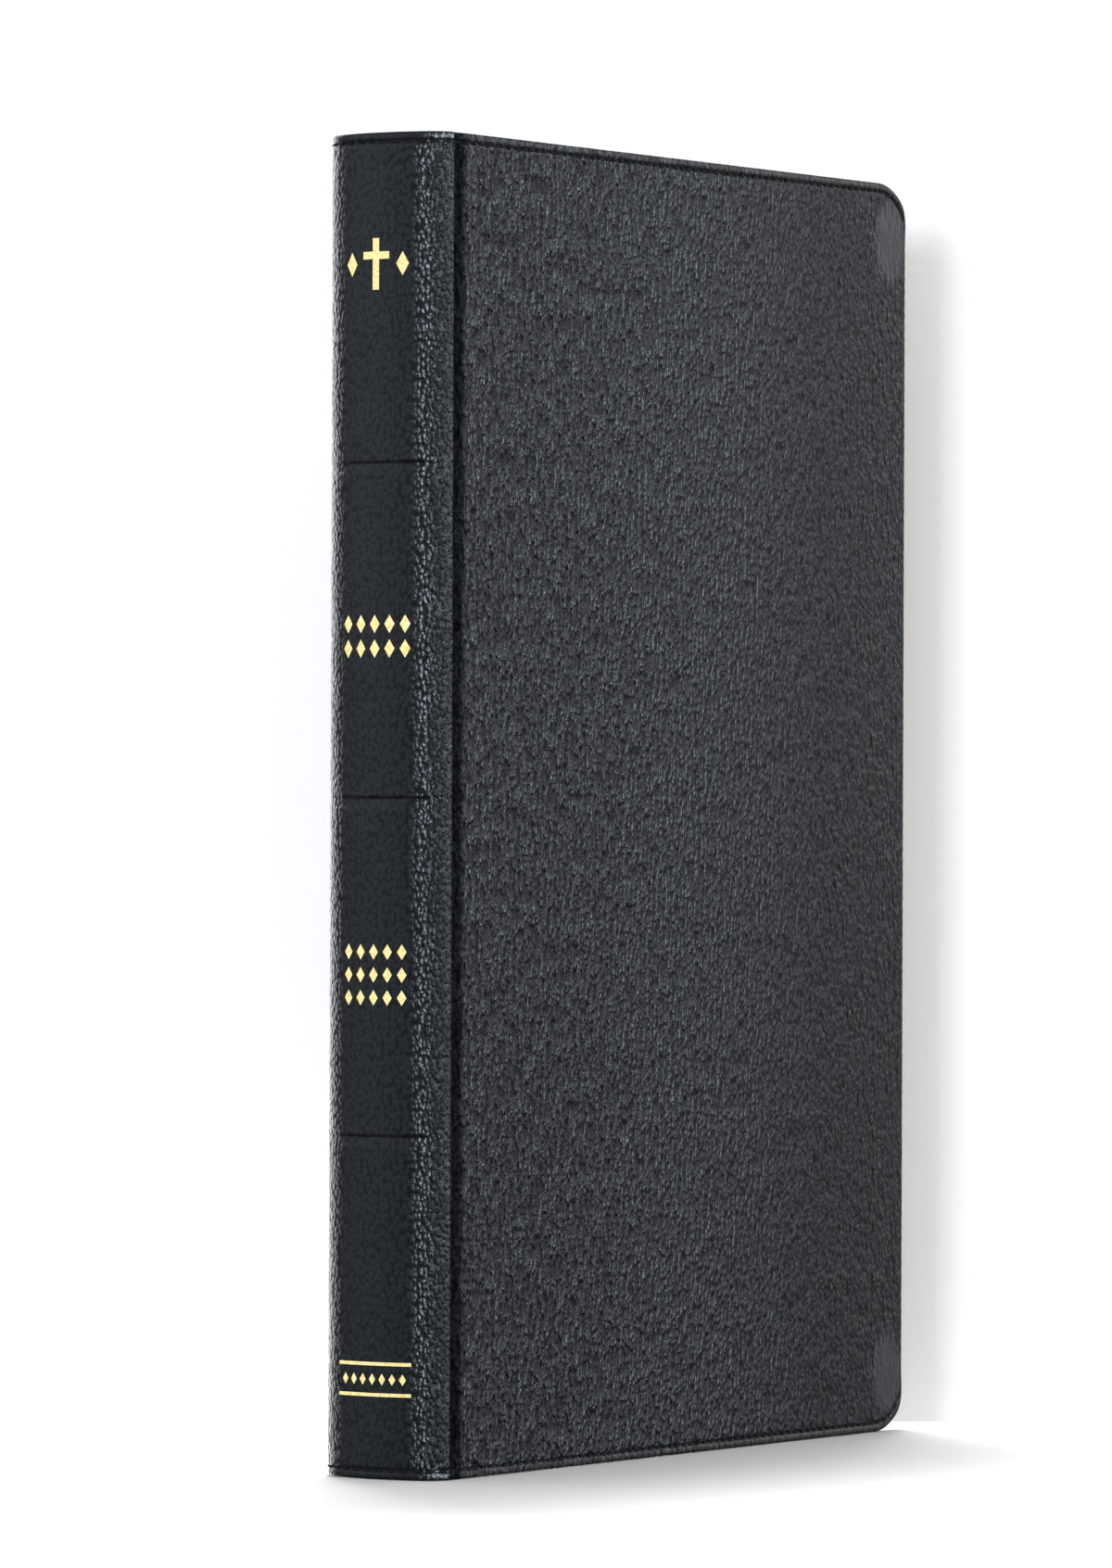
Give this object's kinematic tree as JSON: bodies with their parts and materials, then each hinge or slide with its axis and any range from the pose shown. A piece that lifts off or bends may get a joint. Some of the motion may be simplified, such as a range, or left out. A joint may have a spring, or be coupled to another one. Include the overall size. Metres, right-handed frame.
{
  "type": "limp leather-bound bible",
  "caption": "Limp leather-bound bible with a rounded spine, stitched hem, gilt spine tooling, hinged covers, turning endpapers and page blocks that open.",
  "frame": {"origin": "under the middle of the closed book, on the surface that its tail stands on", "axes": "+Z from tail to head, -Y out of the spine, +Y out of the fore-edge, +X out of the front cover"},
  "size_m": [0.0254, 0.16, 0.235],
  "materials": {
    "black_leather": "fine pebbled grain, satin",
    "liner_board": "smooth grey board",
    "kraft_paper": "matte kraft",
    "mull_cloth": "open weave",
    "linen_tape": "woven tape",
    "bible_paper": "thin opaque paper, gilt edges",
    "endpaper": "black vellum-finish paper",
    "band_silk": "woven gold and black band",
    "black_thread": "twisted thread",
    "gold_foil": "pressed gold foil"
  },
  "bodies": {
    "spine": {"spine_leather": "black_leather", "spine_inlay": "liner_board", "spine_kraft_lining": "kraft_paper", "spine_mull": "mull_cloth", "sewing_tapes": "linen_tape", "section_folds": "bible_paper", "head_band": "band_silk", "tail_band": "band_silk", "spine_head_thread": "black_thread", "spine_tail_thread": "black_thread", "gilt_cross": "gold_foil", "gilt_upper_rows": "gold_foil", "gilt_lower_rows": "gold_foil", "gilt_foot_rules": "gold_foil"},
    "front_cover": {"front_cover_leather": "black_leather", "front_cover_liner": "liner_board", "front_cover_lining": "endpaper", "front_cover_thread": "black_thread"},
    "front_flyleaf": {"front_flyleaf": "endpaper"},
    "back_cover": {"back_cover_leather": "black_leather", "back_cover_liner": "liner_board", "back_cover_lining": "endpaper", "back_cover_thread": "black_thread"},
    "back_flyleaf": {"back_flyleaf": "endpaper"},
    "front_outer_pages": {"page_section_01": "bible_paper", "page_section_02": "bible_paper", "page_section_03": "bible_paper", "page_section_04": "bible_paper"},
    "front_inner_pages": {"page_section_05": "bible_paper", "page_section_06": "bible_paper", "page_section_07": "bible_paper", "page_section_08": "bible_paper"},
    "back_inner_pages": {"page_section_09": "bible_paper", "page_section_10": "bible_paper", "page_section_11": "bible_paper", "page_section_12": "bible_paper"},
    "back_outer_pages": {"page_section_13": "bible_paper", "page_section_14": "bible_paper", "page_section_15": "bible_paper", "page_section_16": "bible_paper"}
  },
  "joints": [
    {"name": "front_half_opening", "type": "hinge", "parent": "spine", "child": "front_inner_pages", "pos_m": [0.01285, -0.0746, 0.1175], "axis": [0, 0, 1], "range_deg": [-90, 0]},
    {"name": "front_quarter_opening", "type": "hinge", "parent": "front_inner_pages", "child": "front_outer_pages", "pos_m": [0.01285, -0.0746, 0.1175], "axis": [0, 0, 1], "range_deg": [-90, 0]},
    {"name": "front_cover_opening", "type": "hinge", "parent": "front_outer_pages", "child": "front_cover", "pos_m": [0.01285, -0.0746, 0.1175], "axis": [0, 0, -1], "range_deg": [0, 178]},
    {"name": "front_flyleaf_turn", "type": "hinge", "parent": "front_outer_pages", "child": "front_flyleaf", "pos_m": [0.01285, -0.0746, 0.1175], "axis": [0, 0, -1], "range_deg": [0, 81]},
    {"name": "back_half_opening", "type": "hinge", "parent": "spine", "child": "back_inner_pages", "pos_m": [-0.01285, -0.0746, 0.1175], "axis": [0, 0, -1], "range_deg": [-90, 0]},
    {"name": "back_quarter_opening", "type": "hinge", "parent": "back_inner_pages", "child": "back_outer_pages", "pos_m": [-0.01285, -0.0746, 0.1175], "axis": [0, 0, -1], "range_deg": [-90, 0]},
    {"name": "back_cover_opening", "type": "hinge", "parent": "back_outer_pages", "child": "back_cover", "pos_m": [-0.01285, -0.0746, 0.1175], "axis": [0, 0, 1], "range_deg": [0, 178]},
    {"name": "back_flyleaf_turn", "type": "hinge", "parent": "back_outer_pages", "child": "back_flyleaf", "pos_m": [-0.01285, -0.0746, 0.1175], "axis": [0, 0, 1], "range_deg": [0, 81]}
  ],
  "couplings": [
    {"joint": "front_flyleaf_turn", "follows": "front_cover_opening", "ratio": 0.45},
    {"joint": "back_flyleaf_turn", "follows": "back_cover_opening", "ratio": 0.45}
  ]
}
